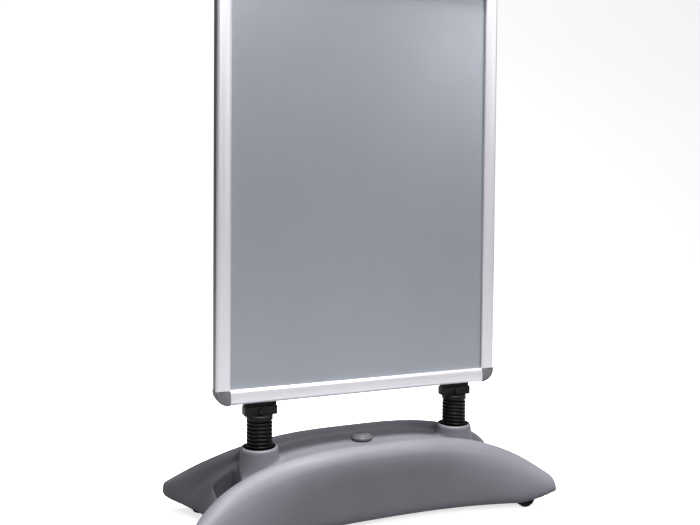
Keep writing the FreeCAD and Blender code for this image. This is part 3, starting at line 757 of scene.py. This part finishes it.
for vertical in ("bottom", "top"):
    for side in ("left", "right"):
        softCopy("corner_%s_%s" % (vertical, side), "cornerCap_%s_%s" % (vertical, side), "panel",
                 cornerPlastic, 0.0014, segments=3)
for side in ("left", "right"):
    softCopy("bracket_" + side, "bracketShell_" + side, "panel", bracketPaint, 0.0009)
    softCopy("spring_cup_" + side, "softCup_" + side, "base", blackNylon, 0.0006)
    softCopy("spring_plug_" + side, "softPlug_" + side, "panel", blackNylon, 0.0006)
for row in rows:
    softCopy("wheel_" + row, "softWheel_" + row, "wheel_" + row, wheelNylon, 0.0016,
             segments=4)
softCopy("fill_cap", "softCap", "fill_cap", capPlastic, 0.0010, segments=3)
softCopy("filler_neck", "softNeck", "base", capPlastic, 0.0003)
softCopy("rubber_feet", "softFeet", "base", footRubber, 0.0010)
softCopy("bracket_bolts", "softBolts", "panel", bracketPaint, 0.0004)
softCopy("bracket_nuts", "softNuts", "panel", bracketPaint, 0.0004)
print("fittings eased")


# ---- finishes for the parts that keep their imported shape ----
def paintNode(node, material):
    nodes[node].data.materials.clear()
    nodes[node].data.materials.append(material)


for side in ("left", "bottom", "right", "top"):
    upright = side in ("left", "right")
    paintNode("rail_" + side, shadeDarkRailUpright if upright else shadeDarkRailLevel)
    for row in rows:
        paintNode("snap_lid_%s_%s" % (row, side), lidUpright if upright else lidLevel)
plainFinishes = {
    "cap_seal": sealRubber, "axle_pin_front": pinSteel, "axle_pin_rear": pinSteel, "rail_screws": zincSteel,
    "backing_sheet_front": backingMetal, "backing_sheet_rear": backingMetal,
    "leaf_springs_front": zincSteel, "leaf_springs_rear": zincSteel,
}
for node, material in plainFinishes.items():
    paintNode(node, material)


# ---- clear covers, a little thinner than their room so that their backs don't touch the sheet ----
for row, side in rows.items():
    work = bmesh.new()
    work.from_mesh(nodes["cover_sheet_" + row].data)
    bmesh.ops.remove_doubles(work, verts=work.verts, dist=1e-6)
    inner = min(abs(v.co.y) for v in work.verts)
    for v in work.verts:
        if abs(v.co.y) < inner + 1e-4:
            v.co.y = side * (inner + 0.0002)
    newPiece("clearCover_" + row, toMesh(work, "clearCover_" + row, 30.0), coverPlastic, "panel",
             ["cover_sheet_" + row])
print("covers laid")


# ---- camera, floor and light ----
view = {"place": (-0.67198, -1.49517, 0.65346), "heading": 0.40501, "tilt": 0.0267, "roll": 0.008388,
        "lens": 40.19, "shift": -0.06}


def placeCamera():
    data = bpy.data.cameras.new("camera")
    data.lens, data.sensor_width, data.shift_y = view["lens"], 36.0, view["shift"]
    data.clip_end = 60.0
    camera = bpy.data.objects.new("camera", data)
    bpy.context.scene.collection.objects.link(camera)
    ahead = Vector((math.sin(view["heading"]), math.cos(view["heading"]), 0.0))
    right = Vector((math.cos(view["heading"]), -math.sin(view["heading"]), 0.0))
    up = Vector((0.0, 0.0, 1.0))
    look = ahead * math.cos(view["tilt"]) - up * math.sin(view["tilt"])
    top = up * math.cos(view["tilt"]) + ahead * math.sin(view["tilt"])
    c, s = math.cos(view["roll"]), math.sin(view["roll"])
    axes = Matrix((right * c + top * s, top * c - right * s, -look)).transposed().to_4x4()
    camera.matrix_world = Matrix.Translation(Vector(view["place"])) @ axes
    bpy.context.scene.camera = camera


floorShape = {"bounce": 0.08, "mirrored": 0.40, "glow": 0.85}


def placeFloor():
    # a pale floor that curves up into a backdrop
    work = bmesh.new()
    outline = [(-14.0, 0.0), (5.0, 0.0)]
    outline += [(5.0 + 3.0 * math.sin(a), 3.0 - 3.0 * math.cos(a)) for a in np.linspace(0.1, math.pi / 2, 16)]
    outline.append((8.0, 9.0))
    previous = None
    for y, z in outline:
        pair = [work.verts.new((-16.0, y, z)), work.verts.new((16.0, y, z))]
        if previous:
            work.faces.new((previous[0], previous[1], pair[1], pair[0]))
        previous = pair
    mesh = bpy.data.meshes.new("floor")
    work.to_mesh(mesh)
    work.free()
    shadeSmooth(mesh, 60.0)
    finish = Finish("paleFloor", Roughness=0.9, Specular_IOR_Level=0.1)
    surface = finish.group(grainGroup, Grain_Scale=60.0, Patch_Scale=0.8)
    pale = finish.blend(surface["Patches"], grey(0.86), grey(0.88))
    # less light bounces back up onto the sign than a white floor would give
    ray = finish.tree.nodes.new("ShaderNodeLightPath").outputs
    mirrored = finish.blend(ray["Is Glossy Ray"], pale, grey(floorShape["mirrored"]))
    finish.drive("Base Color", finish.blend(ray["Is Diffuse Ray"], mirrored, grey(floorShape["bounce"])))
    finish.drive("Emission Color", pale)
    glow = sums(finish.tree)("MULTIPLY", ray["Is Camera Ray"], floorShape["glow"])
    finish.drive("Emission Strength", glow)
    floor = bpy.data.objects.new("floor", mesh)
    bpy.context.scene.collection.objects.link(floor)
    mesh.materials.append(finish.material)


def placeLight(name, place, target, size, power):
    data = bpy.data.lights.new(name, "AREA")
    data.shape, data.size, data.energy = "DISK", size, power
    lamp = bpy.data.objects.new(name, data)
    bpy.context.scene.collection.objects.link(lamp)
    lamp.location = place
    lamp.rotation_euler = (Vector(target) - Vector(place)).to_track_quat("-Z", "Y").to_euler()


def placeWorld(strength):
    world = bpy.data.worlds.new("world")
    world.use_nodes = True
    world.node_tree.nodes["Background"].inputs[0].default_value = (0.95, 0.97, 1.0, 1.0)
    world.node_tree.nodes["Background"].inputs[1].default_value = strength
    bpy.context.scene.world = world


placeCamera()
placeFloor()
placeWorld(0.235)
placeLight("keyLight", (0.25, -0.78, 4.2), (0.0, 0.0, 0.1), 1.1, 350.0)
placeLight("overheadLight", (-0.2, 0.7, 4.6), (0.0, 0.0, 0.1), 3.2, 90.0)
placeLight("frontLight", (-0.2, -4.4, 3.5), (0.0, 0.0, 0.9), 1.8, 80.0)
placeLight("rightLight", (2.9, -3.2, 2.0), (0.3, 0.0, 0.9), 1.3, 20.0)
bpy.context.scene.view_settings.view_transform = "Standard"
print("stage set")
